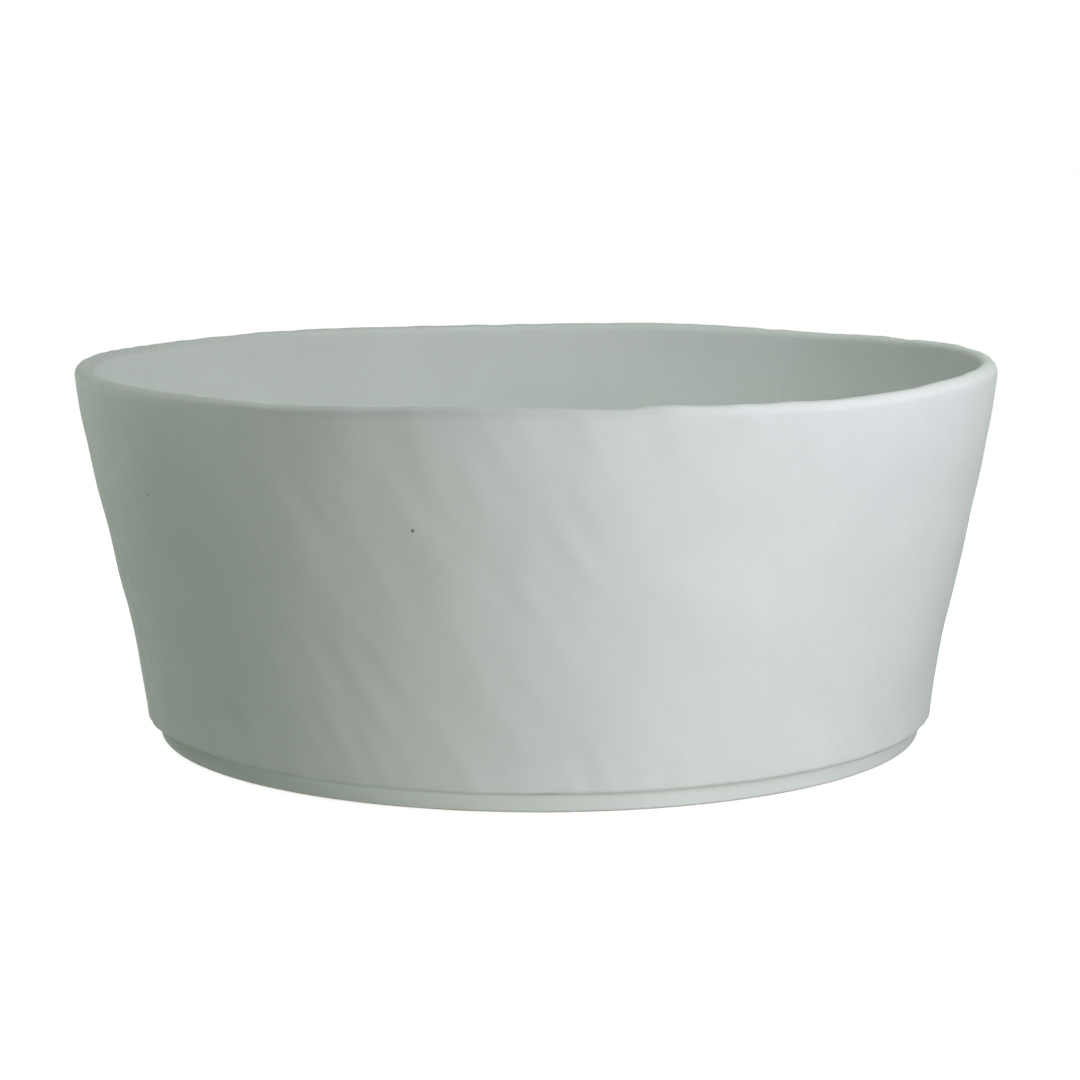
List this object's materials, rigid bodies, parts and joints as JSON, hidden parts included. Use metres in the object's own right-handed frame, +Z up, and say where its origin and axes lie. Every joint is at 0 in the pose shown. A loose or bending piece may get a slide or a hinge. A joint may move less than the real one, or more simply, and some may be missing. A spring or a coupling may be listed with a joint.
{
  "type": "bowl",
  "caption": "Deep round stoneware serving bowl with straight flared sides, a soft uneven rim and a low inset foot ring.",
  "frame": {"origin": "on the surface the bowl stands on, under the middle of the rim", "axes": "+Z up through the open mouth, +Y away from the pictured side, +X to its right"},
  "size_m": [0.25, 0.25, 0.1025],
  "materials": {
    "glaze": "matte",
    "foot_glaze": "matte"
  },
  "bodies": {
    "root": {"bowl_shell": "glaze", "foot_ring": "foot_glaze"}
  },
  "joints": []
}
